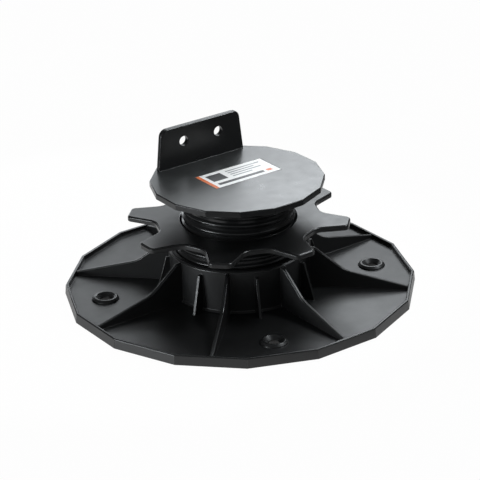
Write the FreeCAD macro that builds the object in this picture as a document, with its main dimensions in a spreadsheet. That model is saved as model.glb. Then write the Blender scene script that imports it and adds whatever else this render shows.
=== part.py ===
"""An adjustable deck pedestal in millimetres: a ribbed base, a threaded adjuster and a flanged head.

The origin is the middle of the base's underside and +Z is up. The head's upstand is on the +Y side,
with its length along X. The pedestal is drawn a little below its greatest height, as it is sold.
"""
import FreeCAD
import Part
import Sketcher
import math
import os
import re

# Driving dimensions: name, value in millimetres, degrees or pieces, and what it measures
DIMENSIONS = [
    ("polygon_sides", 16, "flat sides round the base and round the head plate"),
    ("base_corner_radius", 100.0, "axis to a corner of the base"),
    ("base_draft", 5.0, "lean of the base's outer wall, in degrees"),
    ("floor_thickness", 3.0, "floor of the base"),
    ("rim_height", 5.8, "top of the rim above the ground"),
    ("rim_width", 2.3, "rim at its foot"),
    ("rim_chamfer", 0.4, "edges of the rim"),
    ("collar_wall", 3.1, "wall of the base's collar"),
    ("collar_height", 28.2, "top of the collar above the ground"),
    ("collar_foot_flare", 1.2, "slope in the corner between collar and floor"),
    ("collar_rim_chamfer", 1.0, "outer edge of the collar's top"),
    ("rib_count", 8, "tall ribs round the collar, with a short fin between each two"),
    ("rib_thickness", 2.2, "tall rib"),
    ("rib_bend_run", 19.8, "collar to the bend in a rib's top edge"),
    ("rib_bend_height", 13.7, "bend in a rib's top edge above the ground"),
    ("rib_bend_rounding", 14.0, "bend in a rib's top edge"),
    ("rib_shoulder_run", 2.6, "collar to the end of a rib's level top"),
    ("rib_shoulder_rounding", 3.0, "corner at the end of a rib's level top"),
    ("rib_top_drop", 0.2, "rib's level top below the broken edge of the collar's top"),
    ("rib_tail_drop", 0.8, "rib's outer end below the rim's top"),
    ("rib_edge_chamfer", 0.45, "long edges of a rib's top"),
    ("fin_thickness", 1.6, "short fin"),
    ("fin_foot_run", 8.6, "collar to the fin's end on the floor"),
    ("fin_top_run", 2.3, "collar to the fin's end at its top"),
    ("fin_top_drop", 3.8, "fin's top below the collar's top"),
    ("screw_count", 4, "screw holes in the base"),
    ("screw_inset", 20.1, "flat side of the base to a screw hole's axis"),
    ("screw_hole_radius", 3.1, "screw hole"),
    ("screw_countersink", 2.3, "depth and width of a screw hole's countersink"),
    ("screw_boss_radius", 7.7, "raised ring round a screw hole"),
    ("screw_boss_height", 1.9, "raised ring above the floor"),
    ("screw_boss_chamfer", 1.3, "outer edge of the raised ring"),
    ("tube_inner_radius", 28.5, "inside of the head's tube"),
    ("tube_wall", 2.5, "head's tube under its thread"),
    ("sleeve_wall", 2.5, "adjuster's sleeve under its thread"),
    ("thread_pitch", 4.7, "rise of either thread in one turn"),
    ("thread_depth", 1.5, "height of a thread's ridge"),
    ("thread_root_width", 3.4, "ridge at its root"),
    ("thread_bite", 0.3, "how deep a ridge's section runs into the wall"),
    ("thread_clearance", 0.3, "thread's crest to the bore round it"),
    ("thread_runout", 2.2, "last turn's middle to the flange or plate above"),
    ("sleeve_lead", 7.15, "collar's top down to the first turn's middle at the height drawn"),
    ("tube_lead", 3.55, "adjuster's top down to the first turn's middle at the height drawn"),
    ("bore_lead_chamfer", 0.4, "chamfer at the mouth of the adjuster's bore"),
    ("foot_clearance", 0.5, "sleeve and tube above the ground at the least height"),
    ("adjuster_gap", 12.4, "collar to adjuster at the height drawn"),
    ("head_gap", 20.3, "adjuster to head at the height drawn"),
    ("flange_thickness", 3.1, "adjuster's flange"),
    ("flange_chamfer", 0.7, "upper edges of the adjuster's flange"),
    ("lug_count", 8, "grip lugs round the flange"),
    ("lug_reach", 16.5, "notch floor to a lug's tip"),
    ("lug_tip_width", 12.0, "lug's tip"),
    ("lug_tip_rounding", 3.0, "corners of a lug's tip"),
    ("notch_margin", 6.1, "collar's outside to a notch's floor, seen from above"),
    ("notch_floor_width", 14.0, "notch's floor before its corners are rounded"),
    ("notch_rounding", 8.0, "inside corners of a notch"),
    ("plate_corner_radius", 49.0, "axis to a corner of the head plate"),
    ("plate_thickness", 3.5, "head plate"),
    ("plate_chamfer", 0.35, "upper edges of the head plate"),
    ("stiffener_count", 4, "walls under the head plate, inside the tube"),
    ("stiffener_thickness", 2.0, "wall under the head plate"),
    ("stiffener_depth", 10.0, "wall under the head plate"),
    ("upstand_inset", 10.6, "head plate's far side to the upstand's outer face"),
    ("upstand_thickness", 3.2, "upstand"),
    ("upstand_height", 23.8, "upstand above the head plate"),
    ("upstand_side_margin", 1.05, "upstand's foot to the head plate's slanted side, along X"),
    ("upstand_side_lean", 2.9, "how far each end of the upstand leans in"),
    ("upstand_corner_rounding", 4.5, "top corners of the upstand"),
    ("upstand_edge_chamfer", 0.5, "edges of the upstand"),
    ("upstand_hole_radius", 2.9, "screw hole in the upstand"),
    ("upstand_hole_spacing", 23.7, "between the two screw holes in the upstand"),
    ("upstand_hole_height", 14.4, "screw holes above the head plate"),
    ("label_length", 44.4, "label along X"),
    ("label_width", 20.6, "label along Y"),
    ("label_thickness", 0.15, "label, and the depth of its recess"),
    ("label_shift_x", 4.0, "middle of the label from the axis, along X"),
    ("label_shift_y", 4.3, "middle of the label from the axis, along Y"),
    ("label_margin", 0.1, "label to the side of its recess"),
]

# Radii from the axis outwards: each thread turns inside the bore of the next piece
TUBE_ROOT = "(tube_inner_radius + tube_wall)"
SLEEVE_BORE = f"({TUBE_ROOT} + thread_depth + thread_clearance)"
SLEEVE_ROOT = f"({SLEEVE_BORE} + sleeve_wall)"
COLLAR_BORE = f"({SLEEVE_ROOT} + thread_depth + thread_clearance)"
COLLAR_MIDDLE = f"({COLLAR_BORE} + collar_wall / 2)"
COLLAR_RADIUS = f"({COLLAR_BORE} + collar_wall)"
NOTCH_FLOOR = f"({COLLAR_RADIUS} + notch_margin)"
LUG_TIP = f"({NOTCH_FLOOR} + lug_reach)"
BASE_FLAT = "(base_corner_radius * cos(180deg / polygon_sides))"
PLATE_FLAT = "(plate_corner_radius * cos(180deg / polygon_sides))"

# Heights and lengths: at the least height the flange lies on the collar and the plate on the flange
SLEEVE_LENGTH = "(collar_height - foot_clearance)"
TUBE_LENGTH = "(collar_height + flange_thickness - foot_clearance)"
FLANGE_HEIGHT = "(collar_height + adjuster_gap)"
PLATE_HEIGHT = f"({FLANGE_HEIGHT} + flange_thickness + head_gap)"
RIB_TOP = "(collar_height - collar_rim_chamfer - rib_top_drop)"

NEAR = 0.02

document = FreeCAD.newDocument("deck_pedestal")
sizes = document.addObject("Spreadsheet::Sheet", "sizes")
for row, (name, amount, meaning) in enumerate(DIMENSIONS, start=1):
    sizes.set(f"A{row}", name)
    sizes.set(f"B{row}", str(amount))
    sizes.set(f"C{row}", meaning)
    sizes.setAlias(f"B{row}", name)
document.recompute()

DIMENSION_NAME = re.compile(r"\b(" + "|".join(name for name, amount, meaning in DIMENSIONS) + r")\b")


def bound(text):
    """The expression, with each dimension's name pointing at its cell in the sheet."""
    return DIMENSION_NAME.sub(r"sizes.\g<0>", text)


def number(text):
    """What the expression comes to now."""
    return float(sizes.evalExpression(bound(text)))


def new_body(name, height="0"):
    body = document.addObject("PartDesign::Body", name)
    body.Label = name
    body.setExpression("Placement.Base.z", bound(height))
    return body


def origin_part(body, role):
    return next(part for part in body.Origin.OriginFeatures if part.Role == role)


def new_sketch(body, name, role="XY_Plane", lift="0", turn="0"):
    """A sketch on one of the body's own planes, lifted off it and turned about the upright axis."""
    sketch = body.newObject("Sketcher::SketchObject", name)
    sketch.AttachmentSupport = [(origin_part(body, role), "")]
    sketch.MapMode = "FlatFace"
    upright = FreeCAD.Vector(0, 0, 1) if role == "XY_Plane" else FreeCAD.Vector(0, 1, 0)
    sketch.AttachmentOffset = FreeCAD.Placement(FreeCAD.Vector(), FreeCAD.Rotation(upright, number(turn)))
    sketch.setExpression("AttachmentOffset.Base.z", bound(lift))
    return sketch


def dimension(sketch, kind, places, text):
    index = sketch.addConstraint(Sketcher.Constraint(kind, *places, number(text)))
    sketch.setExpression(f"Constraints[{index}]", bound(text))


def polygon(sketch, corners):
    """A closed outline whose corners are each dimensioned from the sketch's origin."""
    points = [FreeCAD.Vector(number(x), number(y), 0) for x, y in corners]
    following = points[1:] + points[:1]
    for start, end in zip(points, following):
        sketch.addGeometry(Part.LineSegment(start, end), False)
    for side in range(len(points)):
        sketch.addConstraint(Sketcher.Constraint("Coincident", side, 2, (side + 1) % len(points), 1))
    for side, (x, y) in enumerate(corners):
        dimension(sketch, "DistanceX", (-1, 1, side, 1), x)
        dimension(sketch, "DistanceY", (-1, 1, side, 1), y)
    return sketch


def circle(sketch, radius, x="0", y="0"):
    middle = FreeCAD.Vector(number(x), number(y), 0)
    index = sketch.addGeometry(Part.Circle(middle, FreeCAD.Vector(0, 0, 1), number(radius)), False)
    dimension(sketch, "Radius", (index,), radius)
    dimension(sketch, "DistanceX", (-1, 1, index, 3), x)
    dimension(sketch, "DistanceY", (-1, 1, index, 3), y)
    return sketch


def regular_corners(radius, sides):
    """Corners of a regular outline, turned so that a flat side faces along X."""
    steps = [step + 0.5 for step in range(int(number(sides)))]
    turns = [f"(360deg * {step} / {sides})" for step in steps]
    return [(f"{radius} * cos({turn})", f"{radius} * sin({turn})") for turn in turns]


def rectangle_corners(length, width, x, y):
    ends = [(-1, -1), (1, -1), (1, 1), (-1, 1)]
    return [(f"{x} + {i} * ({length}) / 2", f"{y} + {j} * ({width}) / 2") for i, j in ends]


def pad(body, sketch, length, draft="0", **settings):
    """The sketch made solid, as far as length along its normal."""
    feature = body.newObject("PartDesign::Pad", sketch.Name + "_pad")
    feature.Profile = sketch
    feature.setExpression("Length", bound(length))
    feature.setExpression("TaperAngle", bound(draft))
    for setting, choice in settings.items():
        setattr(feature, setting, choice)
    return feature


def pocket(body, sketch, depth, **settings):
    """The sketch cut away, as far as depth against its normal. It has to take something away."""
    document.recompute()
    before = body.Shape.Volume
    feature = body.newObject("PartDesign::Pocket", sketch.Name + "_pocket")
    feature.Profile = sketch
    feature.setExpression("Length", bound(depth))
    for setting, choice in settings.items():
        setattr(feature, setting, choice)
    document.recompute()
    if not body.Shape.Volume < before:
        raise RuntimeError(f"{feature.Name} cuts nothing")
    return feature


def round_axis(body, feature, count):
    """The feature repeated evenly round the upright axis."""
    pattern = body.newObject("PartDesign::PolarPattern", feature.Name + "_pattern")
    pattern.Originals = [feature]
    pattern.Axis = (origin_part(body, "Z_Axis"), [""])
    pattern.Angle = 360.0
    pattern.setExpression("Occurrences", bound(count))
    body.Tip = pattern
    return pattern


def dress(body, kind, name, size, chosen):
    """A fillet or chamfer on every edge of the body that chosen picks."""
    document.recompute()
    shaped = body.Tip
    edges = [f"Edge{i}" for i, edge in enumerate(shaped.Shape.Edges, start=1) if chosen(edge)]
    if not edges:
        raise RuntimeError(f"{name} finds no edge")
    feature = body.newObject(f"PartDesign::{kind}", name)
    feature.Base = (shaped, edges)
    feature.setExpression("Radius" if kind == "Fillet" else "Size", bound(size))
    return feature


def reach(edge):
    """How far the edge's middle is from the upright axis."""
    return math.hypot(edge.CenterOfMass.x, edge.CenterOfMass.y)


def level(edge, height):
    """Whether the whole edge lies at this height."""
    return abs(edge.BoundBox.ZMin - height) < NEAR and abs(edge.BoundBox.ZMax - height) < NEAR


def upright(edge):
    return edge.BoundBox.XLength < NEAR and edge.BoundBox.YLength < NEAR


def round_edge(edge, radius, height):
    """Whether the edge is a full circle of this radius at this height."""
    is_circle = isinstance(edge.Curve, Part.Circle)
    return is_circle and level(edge, height) and abs(edge.Curve.Radius - radius) < NEAR


def beside_plane(edge, count, offset):
    """Whether the edge's middle is this far from one of the evenly spaced planes through the axis."""
    step = 2 * math.pi / count
    angle = math.atan2(edge.CenterOfMass.y, edge.CenterOfMass.x)
    return abs(reach(edge) * abs(math.sin(angle - step * round(angle / step))) - offset) < NEAR


def thread(body, name, root, start, height, left_handed):
    """A coarse ridge of pointed section, wound up the outside of a wall from height start."""
    inside = f"{root} - thread_bite"
    section = polygon(new_sketch(body, name, "XZ_Plane"), [
        (inside, f"{start} - thread_root_width / 2"),
        (root, f"{start} - thread_root_width / 2"),
        (f"{root} + thread_depth", start),
        (root, f"{start} + thread_root_width / 2"),
        (inside, f"{start} + thread_root_width / 2"),
    ])
    ridge = body.newObject("PartDesign::AdditiveHelix", name + "_ridge")
    ridge.Profile = section
    ridge.ReferenceAxis = (origin_part(body, "Z_Axis"), [""])
    ridge.Mode = "pitch-height-angle"
    ridge.setExpression("Pitch", bound("thread_pitch"))
    ridge.setExpression("Height", bound(height))
    ridge.LeftHanded = left_handed
    return ridge


def base_plate(body):
    """The sixteen-sided floor with its rim."""
    outline = regular_corners("base_corner_radius", "polygon_sides")
    pad(body, polygon(new_sketch(body, "base_outline"), outline), "rim_height", draft="-base_draft")
    inner_radius = f"({BASE_FLAT} - rim_width) / cos(180deg / polygon_sides)"
    well = new_sketch(body, "base_well", lift="floor_thickness")
    polygon(well, regular_corners(inner_radius, "polygon_sides"))
    pocket(body, well, "rim_height", Reversed=True)
    rim_height = number("rim_height")
    dress(body, "Chamfer", "rim_edges", "rim_chamfer", lambda edge: level(edge, rim_height))


def base_collar(body):
    pad(body, circle(new_sketch(body, "collar"), COLLAR_RADIUS), "collar_height")
    radius = number(COLLAR_RADIUS)
    floor = number("floor_thickness")
    top = number("collar_height")
    dress(body, "Chamfer", "collar_foot", "collar_foot_flare", lambda edge: round_edge(edge, radius, floor))
    dress(body, "Chamfer", "collar_rim", "collar_rim_chamfer", lambda edge: round_edge(edge, radius, top))


def base_ribs(body):
    """Tall ribs from the collar's top down to the rim, and a short fin in the middle of each bay."""
    tail = f"({BASE_FLAT} - rim_width / 2)"
    rib = polygon(new_sketch(body, "rib", "XZ_Plane"), [
        (COLLAR_MIDDLE, "floor_thickness / 2"),
        (tail, "floor_thickness / 2"),
        (tail, "rim_height - rib_tail_drop"),
        (f"{COLLAR_RADIUS} + rib_bend_run", "rib_bend_height"),
        (f"{COLLAR_RADIUS} + rib_shoulder_run", RIB_TOP),
        (COLLAR_MIDDLE, RIB_TOP),
    ])
    round_axis(body, pad(body, rib, "rib_thickness", SideType="Symmetric"), "rib_count")

    fin_end = f"{COLLAR_RADIUS} + fin_foot_run"
    fin_top = "collar_height - fin_top_drop"
    fin = polygon(new_sketch(body, "fin", "XZ_Plane", turn="180 / rib_count"), [
        (COLLAR_MIDDLE, "floor_thickness / 2"),
        (fin_end, "floor_thickness / 2"),
        (fin_end, "floor_thickness"),
        (f"{COLLAR_RADIUS} + fin_top_run", fin_top),
        (COLLAR_MIDDLE, fin_top),
    ])
    round_axis(body, pad(body, fin, "fin_thickness", SideType="Symmetric"), "rib_count")


def base_screw_holes(body):
    """Countersunk screw holes in raised rings, one in every other bay."""
    circle_radius = f"({BASE_FLAT} - screw_inset)"
    bay = "-180 / rib_count"
    boss_top = number("floor_thickness + screw_boss_height")
    boss = new_sketch(body, "screw_boss", lift="floor_thickness / 2", turn=bay)
    circle(boss, "screw_boss_radius", circle_radius)
    round_axis(body, pad(body, boss, "floor_thickness / 2 + screw_boss_height"), "screw_count")
    boss_radius = number("screw_boss_radius")
    dress(body, "Chamfer", "screw_boss_edges", "screw_boss_chamfer",
          lambda edge: round_edge(edge, boss_radius, boss_top))
    hole = circle(new_sketch(body, "screw_hole", turn=bay), "screw_hole_radius", circle_radius)
    through = pocket(body, hole, "floor_thickness", Type="ThroughAll", SideType="Symmetric")
    round_axis(body, through, "screw_count")
    hole_radius = number("screw_hole_radius")
    dress(body, "Chamfer", "screw_countersinks", "screw_countersink",
          lambda edge: round_edge(edge, hole_radius, boss_top))


def soften_ribs(body):
    """The bend and the shoulder of each rib's top are rounded, and then its long edges are broken."""
    count = number("rib_count")
    bend = number("rib_bend_height")
    rib_top = number(RIB_TOP)
    shoulder = number(f"{COLLAR_RADIUS} + rib_shoulder_run")
    collar = number(COLLAR_RADIUS)
    tail = number(f"{BASE_FLAT} - rim_width")
    side = number("rib_thickness / 2")
    dress(body, "Fillet", "rib_bends", "rib_bend_rounding",
          lambda edge: level(edge, bend) and beside_plane(edge, count, 0))
    dress(body, "Fillet", "rib_shoulders", "rib_shoulder_rounding",
          lambda edge: level(edge, rib_top) and abs(reach(edge) - shoulder) < NEAR)

    def long_top_edge(edge):
        on_rib = beside_plane(edge, count, side) and collar < reach(edge) < tail
        return on_rib and edge.BoundBox.ZMin > number("floor_thickness") + NEAR and not upright(edge)

    dress(body, "Chamfer", "rib_edges", "rib_edge_chamfer", long_top_edge)


def make_base():
    body = new_body("base")
    base_plate(body)
    base_collar(body)
    base_ribs(body)
    base_screw_holes(body)
    bore = circle(new_sketch(body, "collar_bore"), COLLAR_BORE)
    pocket(body, bore, "collar_height", Type="ThroughAll", SideType="Symmetric")
    soften_ribs(body)
    return body


def adjuster_flange(body):
    """A flange with grip lugs: one notch is cut and repeated, then its corners are rounded."""
    half_turn = "(180deg / lug_count)"
    outline = regular_corners(f"{LUG_TIP} / cos{half_turn}", "lug_count")
    pad(body, polygon(new_sketch(body, "flange"), outline), "flange_thickness")
    half_floor = "notch_floor_width / 2"
    half_tip = "lug_tip_width / 2"
    tip_x = f"({LUG_TIP} * cos{half_turn} + {half_tip} * sin{half_turn})"
    tip_y = f"({LUG_TIP} * sin{half_turn} - {half_tip} * cos{half_turn})"
    past_tip = 2
    mouth_x = f"({NOTCH_FLOOR} + {past_tip} * ({tip_x} - {NOTCH_FLOOR}))"
    mouth_y = f"({half_floor} + {past_tip} * ({tip_y} - {half_floor}))"
    notch = polygon(new_sketch(body, "notch", turn="180 / lug_count"), [
        (NOTCH_FLOOR, f"-{half_floor}"),
        (mouth_x, f"-{mouth_y}"),
        (mouth_x, mouth_y),
        (NOTCH_FLOOR, half_floor),
    ])
    cut = pocket(body, notch, "flange_thickness", Type="ThroughAll", SideType="Symmetric")
    round_axis(body, cut, "lug_count")
    notch_corner = math.hypot(number(NOTCH_FLOOR), number(half_floor))
    tip_corner = math.hypot(number(LUG_TIP), number(half_tip))
    dress(body, "Fillet", "notch_corners", "notch_rounding",
          lambda edge: upright(edge) and abs(reach(edge) - notch_corner) < NEAR)
    dress(body, "Fillet", "lug_corners", "lug_tip_rounding",
          lambda edge: upright(edge) and abs(reach(edge) - tip_corner) < NEAR)
    top = number("flange_thickness")
    dress(body, "Chamfer", "flange_edges", "flange_chamfer", lambda edge: level(edge, top))


def make_adjuster():
    """The grip flange with a sleeve under it, threaded outside for the base and bored for the head."""
    body = new_body("adjuster", FLANGE_HEIGHT)
    adjuster_flange(body)
    pad(body, circle(new_sketch(body, "sleeve"), SLEEVE_ROOT), SLEEVE_LENGTH, Reversed=True)
    start = "-(adjuster_gap + sleeve_lead)"
    thread(body, "sleeve_thread", SLEEVE_ROOT, start, f"-thread_runout - ({start})", False)
    bore = circle(new_sketch(body, "sleeve_bore"), SLEEVE_BORE)
    pocket(body, bore, "flange_thickness", Type="ThroughAll", SideType="Symmetric")
    radius = number(SLEEVE_BORE)
    top = number("flange_thickness")
    dress(body, "Chamfer", "bore_mouth", "bore_lead_chamfer", lambda edge: round_edge(edge, radius, top))
    return body


def head_tube(body):
    """The hollow tube under the head plate, with stiffening walls inside it and a thread outside."""
    pad(body, circle(new_sketch(body, "tube"), TUBE_ROOT), TUBE_LENGTH, Reversed=True)
    pocket(body, circle(new_sketch(body, "tube_hollow"), "tube_inner_radius"), TUBE_LENGTH)
    tube_middle = "tube_inner_radius + tube_wall / 2"
    wall = polygon(new_sketch(body, "stiffener", "XZ_Plane", turn="180 / stiffener_count"), [
        ("0", "-stiffener_depth"),
        (tube_middle, "-stiffener_depth"),
        (tube_middle, "plate_thickness / 2"),
        ("0", "plate_thickness / 2"),
    ])
    round_axis(body, pad(body, wall, "stiffener_thickness", SideType="Symmetric"), "stiffener_count")
    start = "-(head_gap + tube_lead)"
    thread(body, "tube_thread", TUBE_ROOT, start, f"-thread_runout - ({start})", True)


def head_upstand(body):
    """The upright wall that a joist is screwed to."""
    outer = f"({PLATE_FLAT} - upstand_inset)"
    inner = f"({outer} - upstand_thickness)"
    foot = f"({PLATE_FLAT} / cos(45deg) - {outer} - upstand_side_margin)"
    top = f"({foot} - upstand_side_lean)"
    crown = "plate_thickness + upstand_height"
    wall = polygon(new_sketch(body, "upstand", "XZ_Plane", lift=f"-{inner}"), [
        (f"-{foot}", "plate_thickness / 2"),
        (foot, "plate_thickness / 2"),
        (top, crown),
        (f"-{top}", crown),
    ])
    pad(body, wall, "upstand_thickness", Reversed=True)
    holes = new_sketch(body, "upstand_holes", "XZ_Plane")
    hole_height = "plate_thickness + upstand_hole_height"
    circle(holes, "upstand_hole_radius", "-upstand_hole_spacing / 2", hole_height)
    circle(holes, "upstand_hole_radius", "upstand_hole_spacing / 2", hole_height)
    pocket(body, holes, "upstand_thickness", Type="ThroughAll", SideType="Symmetric")
    faces = (number(inner), number(outer))
    crown_height = number(crown)
    plate_top = number("plate_thickness")

    def top_corner(edge):
        return level(edge, crown_height) and edge.BoundBox.XLength < NEAR

    def face_edge(edge):
        is_flat = edge.BoundBox.YLength < NEAR and not isinstance(edge.Curve, Part.Circle)
        is_corner = isinstance(edge.Curve, Part.Circle) and edge.Closed is False
        on_face = any(abs(edge.CenterOfMass.y - y) < NEAR for y in faces)
        return on_face and (is_flat or is_corner) and edge.BoundBox.ZMax > plate_top + NEAR

    dress(body, "Fillet", "upstand_corners", "upstand_corner_rounding", top_corner)
    dress(body, "Chamfer", "upstand_edges", "upstand_edge_chamfer", face_edge)


def label_recess(body):
    """A shallow recess that keeps the label flush with the plate that the joist bears on."""
    recess = new_sketch(body, "label_recess", lift="plate_thickness")
    length = "label_length + 2 * label_margin"
    width = "label_width + 2 * label_margin"
    polygon(recess, rectangle_corners(length, width, "label_shift_x", "label_shift_y"))
    pocket(body, recess, "label_thickness")


def make_head():
    """The sixteen-sided plate with its threaded tube below and its upstand above."""
    body = new_body("head", PLATE_HEIGHT)
    outline = regular_corners("plate_corner_radius", "polygon_sides")
    pad(body, polygon(new_sketch(body, "plate"), outline), "plate_thickness")
    top = number("plate_thickness")
    dress(body, "Chamfer", "plate_edges", "plate_chamfer", lambda edge: level(edge, top))
    head_tube(body)
    head_upstand(body)
    label_recess(body)
    return body


def make_label():
    body = new_body("label", f"{PLATE_HEIGHT} + plate_thickness - label_thickness")
    corners = rectangle_corners("label_length", "label_width", "label_shift_x", "label_shift_y")
    pad(body, polygon(new_sketch(body, "label_outline"), corners), "label_thickness")
    return body


pieces = [make_base(), make_adjuster(), make_head(), make_label()]
document.recompute()

for item in document.Objects:
    if "Invalid" in item.State or "Error" in item.State:
        raise RuntimeError(f"{item.Name} failed: {item.State}")
for piece in pieces:
    if piece.Shape.isNull() or not piece.Shape.isValid() or len(piece.Shape.Solids) != 1:
        raise RuntimeError(f"{piece.Label} is not one valid solid")

os.makedirs("parts", exist_ok=True)
for piece in pieces:
    piece.Shape.exportStep(f"parts/{piece.Label}.step")
    box = piece.Shape.BoundBox
    print(f"{piece.Label}: {piece.Shape.Volume / 1000:.2f} cm3, z {box.ZMin:.2f} to {box.ZMax:.2f}")
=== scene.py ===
# %% [markdown]
# # An adjustable deck pedestal
# The pedestal is a screw jack of black moulded plastic that holds up a deck's joist. It has a wide ribbed
# base, a ring with grip lugs that screws into it, and a head that screws into the ring. The solids come in
# first as a fixed frame, in metres, with the middle of the base's underside at the origin and +Z up.
# Everything below dresses those solids and never moves them.

# %% Load the frame
import math

import bmesh
import bpy
from mathutils import Matrix, Vector


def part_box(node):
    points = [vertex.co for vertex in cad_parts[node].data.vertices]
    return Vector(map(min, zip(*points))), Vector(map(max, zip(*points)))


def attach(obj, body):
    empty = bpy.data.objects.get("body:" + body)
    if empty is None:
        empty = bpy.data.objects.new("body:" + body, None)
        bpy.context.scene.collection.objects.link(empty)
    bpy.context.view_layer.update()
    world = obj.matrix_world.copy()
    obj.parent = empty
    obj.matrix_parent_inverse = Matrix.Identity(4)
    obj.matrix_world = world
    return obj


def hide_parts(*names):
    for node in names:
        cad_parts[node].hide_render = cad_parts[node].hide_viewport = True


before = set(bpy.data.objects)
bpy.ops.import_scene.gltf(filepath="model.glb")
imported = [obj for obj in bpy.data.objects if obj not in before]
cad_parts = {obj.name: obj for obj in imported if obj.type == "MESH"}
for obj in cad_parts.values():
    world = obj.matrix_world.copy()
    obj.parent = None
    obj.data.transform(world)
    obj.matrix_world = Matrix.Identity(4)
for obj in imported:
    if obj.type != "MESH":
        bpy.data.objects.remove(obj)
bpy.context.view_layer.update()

MILLIMETRE = 0.001

# %% [markdown]
# ## The camera
# The photo was taken with a long lens from a little above, so the far side of the base is hardly smaller
# than the near side. A camera could be placed by eye and nudged. It is placed here by the angles of its
# sight line instead: how far round, how far above, how far away, and the point beside the pedestal's axis
# that it looks at. The photo also leans a little, so the camera rolls about its own sight line. Blender takes
# the lens and the sensor in millimetres.

# %% Camera at the photo's angle
VIEW_AZIMUTH = math.radians(-35.1)
VIEW_ELEVATION = math.radians(24.44)
VIEW_ROLL = math.radians(1.73)
VIEW_DISTANCE = 1.1082
AIM_HEIGHT = 29.1 * MILLIMETRE
AIM_SIDE = 0.5 * MILLIMETRE
LENS = 147.0
SENSOR = 36.0

sight = Vector((
    -math.sin(VIEW_AZIMUTH) * math.cos(VIEW_ELEVATION),
    math.cos(VIEW_AZIMUTH) * math.cos(VIEW_ELEVATION),
    -math.sin(VIEW_ELEVATION),
))
level_right = sight.cross(Vector((0, 0, 1))).normalized()
level_up = level_right.cross(sight)
right = level_right * math.cos(VIEW_ROLL) - level_up * math.sin(VIEW_ROLL)
up = level_right * math.sin(VIEW_ROLL) + level_up * math.cos(VIEW_ROLL)

camera_data = bpy.data.cameras.new("photo_camera")
camera_data.lens = LENS
camera_data.sensor_width = SENSOR
camera = bpy.data.objects.new("photo_camera", camera_data)
bpy.context.scene.collection.objects.link(camera)
aim = Vector((0, 0, AIM_HEIGHT)) + level_right * AIM_SIDE
turn = Matrix((right, up, -sight)).transposed().to_4x4()
camera.matrix_world = Matrix.Translation(aim - sight * VIEW_DISTANCE) @ turn
bpy.context.scene.camera = camera
print("camera at", [round(value, 4) for value in camera.location])

# %% [markdown]
# ## One skin from loose triangles
# Each solid arrives as loose triangles, which share no corners. A bevel needs a surface that hangs together,
# so a copy of the triangles is welded first. The flat faces of the real moulding are then made whole again,
# because a bevel ends cleanly only between whole faces. The skin could be modelled afresh, but then it could
# drift from the solid that the pedestal's sizes and movements come from.

# %% A welded copy of a solid
WELD = 0.002 * MILLIMETRE
FLAT_ENOUGH = math.radians(0.4)


def welded_skin(node):
    """A copy of one solid's triangles, joined into a closed skin with whole flat faces."""
    skin = bmesh.new()
    skin.from_mesh(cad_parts[node].data)
    triangles = len(skin.faces)
    bmesh.ops.remove_doubles(skin, verts=skin.verts, dist=WELD)
    bmesh.ops.dissolve_limit(skin, angle_limit=FLAT_ENOUGH, verts=skin.verts, edges=skin.edges)
    print(node, "came as", triangles, "triangles and is a skin of", len(skin.faces), "faces")
    return skin


skins = {node: welded_skin(node) for node in ("base", "adjuster", "head")}

# %% [markdown]
# ## Threads with round crests
# The ring and the head each carry a coarse thread, which is a three-sided ridge in the solid. On the real
# piece its crest is round, so that it slides in the bore round it, and its root is a plain crease. A round
# crest could be swept in the solid, but a sharp one keeps that sweep light. Here the crest's edges are found
# by their distance from the axis and bevelled in many steps, and the root's edges are marked sharp.

# %% Round the crests and keep the roots
CORNER = math.radians(19)
CREST_RADIUS = {"adjuster": 36.8 * MILLIMETRE, "head": 32.5 * MILLIMETRE}
THREAD_DEPTH = 1.5 * MILLIMETRE
RADIUS_PLAY = 0.05 * MILLIMETRE
CREST_ROUNDING = 1.0 * MILLIMETRE
CREST_STEPS = 6


def corners(skin):
    """The edges where the skin turns sharply. The facets of a round face turn less."""
    return [edge for edge in skin.edges if edge.calc_face_angle(0.0) > CORNER]


def corners_at_radius(skin, radius):
    """The sharp edges that run round the axis at this radius, as a thread's crest and root do."""
    found = []
    for edge in corners(skin):
        if all(abs(end.co.xy.length - radius) < RADIUS_PLAY for end in edge.verts):
            found.append(edge)
    return found


def roll(skin, edges, radius, steps):
    """Rounds these edges over and returns the new faces."""
    made = bmesh.ops.bevel(skin, geom=edges, offset=radius, affect="EDGES", segments=steps,
                           profile=0.5, material=-1, clamp_overlap=False)
    return made["faces"]


for node, crest_radius in CREST_RADIUS.items():
    crest = corners_at_radius(skins[node], crest_radius)
    crest_faces = roll(skins[node], crest, CREST_ROUNDING, CREST_STEPS)
    root = corners_at_radius(skins[node], crest_radius - THREAD_DEPTH)
    for edge in root:
        edge.smooth = False
    print(node, "has", len(crest_faces), "faces on its thread's crest and", len(root), "edges at its root")

# %% [markdown]
# ## Mouldings with soft edges
# A moulded edge is never knife sharp: the mould's cutter leaves a small radius, and that radius is what
# catches the light along every rim and rib. The edges could be drawn as light lines in a texture, but then
# they would not move with the light. So a bevel rolls over every corner, inside and out, except the roots
# of the threads. The rolled faces that turn outwards go in a second material slot, because hands and boxes
# rub those edges smoother than the faces between them. Weighted normals keep the wide faces flat and let
# only the narrow bands between them turn the light.

# %% Roll the edges
EDGE_RADIUS = {
    "base": 0.27 * MILLIMETRE,
    "adjuster": 0.27 * MILLIMETRE,
    "head": 0.18 * MILLIMETRE,
}
EDGE_STEPS = 3
FACE_SLOT = 0
EDGE_SLOT = 1
FLAT_FACE_WEIGHT = 100


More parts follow.
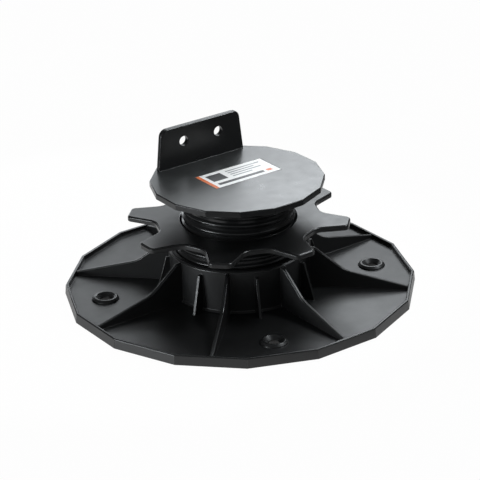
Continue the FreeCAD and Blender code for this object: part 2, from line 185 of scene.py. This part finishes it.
def moulding(node, body):
    """A visible copy of one solid, as a single closed skin with rolled edges, which rides on its body."""
    skin = skins[node]
    sharp = [edge for edge in corners(skin) if edge.smooth]
    rolled = roll(skin, sharp, EDGE_RADIUS[node], EDGE_STEPS)
    for face in skin.faces:
        face.smooth = True
    for face in rolled:
        outward_turn = sum(edge.calc_face_angle_signed(0.0) for edge in face.edges)
        face.material_index = EDGE_SLOT if outward_turn > 0 else FACE_SLOT
    open_edges = sum(not edge.is_manifold for edge in skin.edges)
    mesh = bpy.data.meshes.new(node + "_moulding")
    skin.to_mesh(mesh)
    skin.free()
    piece = bpy.data.objects.new(node + "_moulding", mesh)
    bpy.context.scene.collection.objects.link(piece)
    normals = piece.modifiers.new("flat_faces_first", "WEIGHTED_NORMAL")
    normals.weight = FLAT_FACE_WEIGHT
    normals.keep_sharp = True
    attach(piece, body)
    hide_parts(node)
    print(node, "has", len(mesh.polygons), "faces,", len(sharp), "edges rolled,", open_edges, "edges open")
    return piece


mouldings = {node: moulding(node, body=node) for node in skins}

# %% [markdown]
# ## Sums for the shaders
# A finish is worked out from the place on the piece: where it is rougher, where the print is dark. Those
# sums could be wired node by node. They read better as sums, so one small class stands for a node's output,
# and adding or multiplying two of them adds the Math node that does it.

# %% A value that can be added and multiplied
class Value:
    """An output of a shader node. Sums on it add Math nodes to the same shader."""

    def __init__(self, shader, socket):
        self.shader = shader
        self.socket = socket

    def combine(self, operation, first, second):
        return self.shader.node("ShaderNodeMath", {"operation": operation}, {0: first, 1: second})

    def __add__(self, other):
        return self.combine("ADD", self, other)

    def __radd__(self, other):
        return self.combine("ADD", other, self)

    def __sub__(self, other):
        return self.combine("SUBTRACT", self, other)

    def __rsub__(self, other):
        return self.combine("SUBTRACT", other, self)

    def __mul__(self, other):
        return self.combine("MULTIPLY", self, other)

    def __rmul__(self, other):
        return self.combine("MULTIPLY", other, self)

    def __truediv__(self, other):
        return self.combine("DIVIDE", self, other)

    def __rtruediv__(self, other):
        return self.combine("DIVIDE", other, self)

    def __gt__(self, other):
        return self.combine("GREATER_THAN", self, other)

    def __lt__(self, other):
        return self.combine("LESS_THAN", self, other)


# %% [markdown]
# ## One way to add any node
# Every other node comes from one method, which takes the node's type, its settings, and what goes into its
# sockets: a number or colour is set on the socket, and a value is linked to it. The short methods after it
# name the few nodes that the finishes use again and again. The Mix node has its own sockets for each kind of
# data, so its colours are asked for by number: 6 and 7 go in, and output 2 comes out.

# %% A shader to fill with nodes
MIX_SHARE, MIX_FIRST, MIX_SECOND, MIX_RESULT = 0, 6, 7, 2


class Shader:
    """A material's or a world's node tree, filled by one method."""

    def __init__(self, owner):
        owner.use_nodes = True
        self.tree = owner.node_tree
        self.tree.nodes.clear()

    def node(self, kind, settings=None, sockets=None, output=0):
        """Adds a node, sets it up, feeds its sockets, and returns one of its outputs."""
        made = self.tree.nodes.new(kind)
        for name, setting in (settings or {}).items():
            setattr(made, name, setting)
        for name, given in (sockets or {}).items():
            if isinstance(given, Value):
                self.tree.links.new(given.socket, made.inputs[name])
            else:
                made.inputs[name].default_value = given
        return Value(self, made.outputs[output]) if len(made.outputs) else made

    def place(self):
        """The place on the piece, in the frame's metres."""
        return self.node("ShaderNodeTexCoord", output="Object")

    def along(self, place, axis):
        """How far a place lies along one axis."""
        return self.node("ShaderNodeSeparateXYZ", {}, {"Vector": place}, output=axis)

    def noise(self, place, scale, detail=2.0):
        """Soft random values from 0 to 1, with this many bumps to the metre."""
        return self.node("ShaderNodeTexNoise", {}, {"Vector": place, "Scale": scale, "Detail": detail})

    def ramp(self, value, start, end, low, high):
        """Goes from low to high while the value goes from start to end, and stays within them."""
        sockets = {"Value": value, "From Min": start, "From Max": end, "To Min": low, "To Max": high}
        return self.node("ShaderNodeMapRange", {}, sockets)

    def mix(self, share, first, second):
        """A colour between two colours."""
        sockets = {MIX_SHARE: share, MIX_FIRST: first, MIX_SECOND: second}
        return self.node("ShaderNodeMix", {"data_type": "RGBA"}, sockets, output=MIX_RESULT)

    def mix_shaders(self, share, first, second):
        """A surface between two surfaces."""
        return self.node("ShaderNodeMixShader", {}, {0: share, 1: first, 2: second})

    def surface(self, result):
        """Ends a material with this surface."""
        self.node("ShaderNodeOutputMaterial", {}, {"Surface": result})


def new_finish(name):
    """An empty material and the shader that fills it."""
    material = bpy.data.materials.new(name)
    return material, Shader(material)


# %% [markdown]
# ## Black moulded plastic
# The three mouldings are black polypropylene with a satin skin. It is nearly black when looked at straight
# on and silvery at a glance, because it mirrors the bright panels behind. One even black would look like a
# hole, and a picture of plastic would fix the light in place, so the gloss itself is varied. Each mould is
# polished in its own way: the base is matt, the ring and the head are glossier, and the screws and the rubbed
# outer edges glossier still. Within that, the gloss changes slowly where the melt cooled at different speeds
# and quickly where the skin is rubbed. Shallow hollows, called sink marks, and a fine grain bend the
# reflections a little. A thin, patchy film of dust lies on the head's plate.

# %% Plastic finish
PLASTIC_DARK = (0.006, 0.0062, 0.0064, 1.0)
PLASTIC_PALE = (0.011, 0.0113, 0.0115, 1.0)
PLASTIC_IOR = 1.49
SCREW_ROUGHNESS = 0.25
COOLING_SCALE = 22.0
COOLING_CHANGE = 0.10
RUB_SCALE = 160.0
RUB_CHANGE = 0.13
NOISE_MIDDLE = 0.5
GRAIN_SCALE = 1400.0
GRAIN_HEIGHT = 0.004 * MILLIMETRE
SINK_SCALE = 70.0
SINK_HEIGHT = 0.03 * MILLIMETRE
DUST = (0.050, 0.053, 0.052, 1.0)
DUST_SHARE = 0.8
DUST_PATCH_SCALE = 45.0
DUST_PATCH_RANGE = (0.35, 0.65)
DUST_PATCH_SHARES = (0.4, 1.0)
HEIGHT_PLAY = 0.02 * MILLIMETRE


def plastic(name, even_roughness, screw_top=None, dusty_height=None):
    """Black plastic, smoother below a screw's top and dusty at the height of a level face."""
    material, shader = new_finish(name)
    place = shader.place()
    cooling = shader.noise(place, COOLING_SCALE)
    rub = shader.noise(place, RUB_SCALE, detail=4.0)
    gloss_change = COOLING_CHANGE * (cooling - NOISE_MIDDLE) + RUB_CHANGE * (rub - NOISE_MIDDLE)
    roughness = even_roughness + gloss_change
    if screw_top is not None:
        on_screw = shader.along(place, "Z") < screw_top
        roughness = roughness + on_screw * (SCREW_ROUGHNESS - even_roughness)
    colour = shader.mix(cooling, PLASTIC_DARK, PLASTIC_PALE)
    if dusty_height is not None:
        height = shader.along(place, "Z")
        level = (height > dusty_height - HEIGHT_PLAY) * (height < dusty_height + HEIGHT_PLAY)
        spots = shader.noise(place, DUST_PATCH_SCALE, detail=5.0)
        patches = shader.ramp(spots, *DUST_PATCH_RANGE, *DUST_PATCH_SHARES)
        colour = shader.mix(level * patches * DUST_SHARE, colour, DUST)
    grain = GRAIN_HEIGHT * shader.noise(place, GRAIN_SCALE, detail=3.0)
    sinks = SINK_HEIGHT * shader.noise(place, SINK_SCALE)
    bump = shader.node("ShaderNodeBump", {}, {"Strength": 1.0, "Distance": 1.0, "Height": grain + sinks})
    shader.surface(shader.node("ShaderNodeBsdfPrincipled", {}, {
        "Base Color": colour,
        "Roughness": roughness,
        "IOR": PLASTIC_IOR,
        "Normal": bump,
    }))
    print(name, "has", len(shader.tree.nodes), "nodes")
    return material


# %% [markdown]
# ## Faces and edges of each moulding
# Each moulding takes two finishes, one for its faces and one for its rubbed outer edges, in the order of the
# slots that the bevel filled. The screws lie below the heights named here. The label lies flush in the
# plate, so the top of the label's box is also the height of the dusty face.

# %% Dress the mouldings
FACE_ROUGHNESS = {"base": 0.42, "adjuster": 0.36, "head": 0.31}
EDGE_ROUGHNESS = 0.24
SCREW_TOP = {"adjuster": 37.0 * MILLIMETRE, "head": 61.0 * MILLIMETRE}
DUSTY_HEIGHT = {"head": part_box("label")[1].z}

for node, piece in mouldings.items():
    faces = plastic(node + "_faces", FACE_ROUGHNESS[node], SCREW_TOP.get(node), DUSTY_HEIGHT.get(node))
    edges = plastic(node + "_edges", EDGE_ROUGHNESS)
    piece.data.materials.append(faces)
    piece.data.materials.append(edges)
    print(piece.name, "has", [material.name for material in piece.data.materials])

# %% [markdown]
# ## The label
# A printed film label lies on the head's plate. The print is generic: an edge of colour, a dark block and a
# few bars. It could be a picture, but a picture blurs when the camera comes close. So each field is a
# rectangle in shares of the label's own length and width, and a place lies inside it where it is past one
# side and short of the other.

# %% Label print
FILM = (0.93, 0.92, 0.90, 1.0)
FILM_ROUGHNESS = 0.38
FILM_GRAIN_SCALE = 300.0
FILM_GRAIN_CHANGE = 0.08
INK_DARK = (0.02, 0.02, 0.022, 1.0)
INK_GREY = (0.30, 0.30, 0.31, 1.0)
INK_ACCENT = (0.75, 0.16, 0.03, 1.0)
ACCENT_FIELDS = [(0.0, 0.05, 0.0, 1.0), (0.84, 0.92, 0.14, 0.27)]
DARK_FIELDS = [(0.10, 0.32, 0.42, 0.86), (0.10, 0.80, 0.14, 0.27)]
BAR_START = 0.40
BAR_HEIGHT = 0.055
BAR_ENDS = {0.80: 0.92, 0.675: 0.80, 0.55: 0.87, 0.425: 0.70}
GREY_FIELDS = [(BAR_START, end, level, level + BAR_HEIGHT) for level, end in BAR_ENDS.items()]


def label_film():
    """White film, printed in three inks."""
    material, shader = new_finish("label_film")
    low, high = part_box("label")
    place = shader.place()
    along = (shader.along(place, "X") - low.x) / (high.x - low.x)
    across = (shader.along(place, "Y") - low.y) / (high.y - low.y)
    colour = FILM
    for ink, fields in ((INK_GREY, GREY_FIELDS), (INK_DARK, DARK_FIELDS), (INK_ACCENT, ACCENT_FIELDS)):
        for left, end, near, far in fields:
            inside = (along > left) * (along < end) * (across > near) * (across < far)
            colour = shader.mix(inside, colour, ink)
    roughness = FILM_ROUGHNESS + FILM_GRAIN_CHANGE * shader.noise(place, FILM_GRAIN_SCALE)
    shader.surface(shader.node("ShaderNodeBsdfPrincipled", {}, {
        "Base Color": colour,
        "Roughness": roughness,
    }))
    return material


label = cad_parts["label"]
label.data.materials.clear()
label.data.materials.append(label_film())
print("label is", [round(size, 4) for size in label.dimensions])

# %% [markdown]
# ## The studio floor
# The photo shows black faces on a white ground. A white floor alone would turn the upright walls grey,
# because they mirror the floor in front of them. So the floor is a round of white paper on a dark table. The
# Light Path node tells which rays come straight from the camera, and those see white everywhere. Mirrored
# rays see white only on the paper. The floor keeps the shadow, because a little of its own shading is left.
# It lies a hair under the base, so that two surfaces don't share one place, and it is clear from below, so
# that the underside can be looked at.

# %% Places in the studio
BEHIND = Vector((sight.x, sight.y, 0)).normalized()


def studio(place):
    """A point given by how far it is behind, to the right of, and above the middle of the base."""
    return BEHIND * place[0] + level_right * place[1] + Vector((0, 0, place[2]))


def rays(shader):
    """Whether a ray comes from the camera, and whether it was mirrored or went through something."""
    seen = shader.node("ShaderNodeLightPath", output="Is Camera Ray")
    mirrored = shader.node("ShaderNodeLightPath", output="Is Glossy Ray")
    through = shader.node("ShaderNodeLightPath", output="Is Transmission Ray")
    return seen, mirrored + through


print("behind the pedestal is", [round(value, 3) for value in BEHIND])

# %% Floor
FLOOR_SIZE = 6.0
FLOOR_GAP = 0.05 * MILLIMETRE
FLOOR_LIFT = 0.985
MIRROR_LIFT = 0.90
PAPER_COLOUR = (0.85, 0.85, 0.85, 1.0)
PAPER_MIDDLE = (0.035, -0.06, 0.0)
PAPER_EDGE = (0.175, 0.20)
TABLE_COLOUR = (0.10, 0.10, 0.10, 1.0)
WHITE = (1.0, 1.0, 1.0, 1.0)


def paper_on_table():
    """White paper on a dark table, lifted to white for the camera and clear from below."""
    material, shader = new_finish("white_sheet")
    seen, mirrored = rays(shader)
    reach = {0: shader.place(), 1: studio(PAPER_MIDDLE)}
    distance = shader.node("ShaderNodeVectorMath", {"operation": "DISTANCE"}, reach, output="Value")
    on_paper = shader.ramp(distance, *PAPER_EDGE, 1.0, 0.0)
    colour = shader.mix(on_paper, TABLE_COLOUR, PAPER_COLOUR)
    matt = shader.node("ShaderNodeBsdfDiffuse", {}, {"Color": colour})
    glow = shader.node("ShaderNodeEmission", {}, {"Color": WHITE, "Strength": 1.0})
    lift = seen * FLOOR_LIFT + mirrored * on_paper * MIRROR_LIFT
    from_below = shader.node("ShaderNodeNewGeometry", output="Backfacing")
    clear = shader.node("ShaderNodeBsdfTransparent")
    shader.surface(shader.mix_shaders(from_below, shader.mix_shaders(lift, matt, glow), clear))
    return material


sheet = bmesh.new()
lowered = Matrix.Translation((0, 0, -FLOOR_GAP))
bmesh.ops.create_grid(sheet, x_segments=1, y_segments=1, size=FLOOR_SIZE / 2, matrix=lowered)
floor_mesh = bpy.data.meshes.new("studio_floor")
sheet.to_mesh(floor_mesh)
sheet.free()
floor = bpy.data.objects.new("studio_floor", floor_mesh)
bpy.context.scene.collection.objects.link(floor)
floor.data.materials.append(paper_on_table())
print("floor is", FLOOR_SIZE, "m wide, with paper out to", PAPER_EDGE[1], "m")

# %% [markdown]
# ## The room
# Past the floor the camera sees a white backdrop, as in the photo. A white room all round would also light
# every face alike and lay white on every reflection. So the world is white to the camera alone: it lights
# the pedestal only a little, and mirrored rays find it dim.

# %% World
ROOM_LIGHT = 0.05
ROOM_MIRRORED = 0.03


def white_backdrop(world):
    """Fills a world with white for the camera and a dim light for everything else."""
    shader = Shader(world)
    seen, mirrored = rays(shader)
    room = shader.node("ShaderNodeBackground", {}, {"Color": WHITE, "Strength": ROOM_LIGHT})
    backdrop = shader.node("ShaderNodeBackground", {}, {"Color": WHITE, "Strength": 1.0})
    lift = seen + mirrored * ROOM_MIRRORED
    shader.node("ShaderNodeOutputWorld", {}, {"Surface": shader.mix_shaders(lift, room, backdrop)})


world = bpy.data.worlds.new("studio")
bpy.context.scene.world = world
white_backdrop(world)
print("room lights with", ROOM_LIGHT, "of white")

# %% [markdown]
# ## Soft lights
# Black gloss shows its lamps more than its own colour. Panels close behind the pedestal lay a pale sheen on
# every level face and leave the near faces dark. A low lamp at the front left and a small one high on the
# right draw thin lines along the rounded edges. A wide dim panel in front does for a view from behind what
# the back panels do for the photo's. Spot lamps would leave hard dots, so all are flat and wide. Each row
# gives a lamp's place and the point it faces, both in the studio's own directions, then its width and height
# and its brightness. The power grows with the lamp's area, so a larger lamp looks no brighter in a mirror.

# %% Lamps
COOL = (0.92, 0.965, 1.0)
LAMPS = {
    "back_panel": ((0.42, 0.09, 0.51), (0, 0, 0.51), (0.18, 0.60), 3.8),
    "back_spread": ((0.42, 0.15, 0.50), (0, 0, 0.50), (0.48, 0.60), 2.1),
    "back_left": ((0.42, -0.15, 0.15), (0, 0, 0.15), (0.14, 0.30), 2.0),
    "back_low": ((0.42, -0.28, 0.05), (0, 0, 0.05), (0.20, 0.10), 3.0),
    "front_low": ((-0.40, -0.67, 0.06), (0, 0, 0.06), (0.36, 0.12), 22.0),
    "front_left": ((-0.50, -0.55, 0.34), (0, 0, 0.03), (0.36, 0.30), 2.0),
    "right_high": ((0.02, 0.50, 0.63), (0, 0, 0.03), (0.20, 0.20), 20.0),
    "right_front": ((-0.29, 0.63, 0.40), (0, 0, 0.05), (0.40, 0.35), 0.6),
    "overhead": ((0.50, 0.12, 0.80), (0, 0, 0.05), (0.90, 0.70), 0.6),
    "front_fill": ((-0.85, 0.0, 0.36), (0, 0, 0.03), (1.20, 0.50), 0.3),
}


def softbox(name, place, target, size, brightness):
    """A flat lamp that faces a target and that the camera doesn't see."""
    lamp = bpy.data.lights.new(name, "AREA")
    lamp.shape = "RECTANGLE"
    lamp.size, lamp.size_y = size
    lamp.energy = brightness * math.pi * size[0] * size[1]
    lamp.color = COOL
    holder = bpy.data.objects.new(name, lamp)
    holder.visible_camera = False
    bpy.context.scene.collection.objects.link(holder)
    turn = (studio(target) - studio(place)).to_track_quat("-Z", "Y")
    holder.matrix_world = Matrix.Translation(studio(place)) @ turn.to_matrix().to_4x4()
    return holder


for name, (place, target, size, brightness) in LAMPS.items():
    lamp = softbox(name, place, target, size, brightness)
    print(name, "at", [round(value, 3) for value in lamp.location])

# %% [markdown]
# ## Colours as written
# The Standard view shows each colour as it is written, where Blender's own choice would soften the whites.

# %% View
view = bpy.context.scene.view_settings
view.view_transform = "Standard"
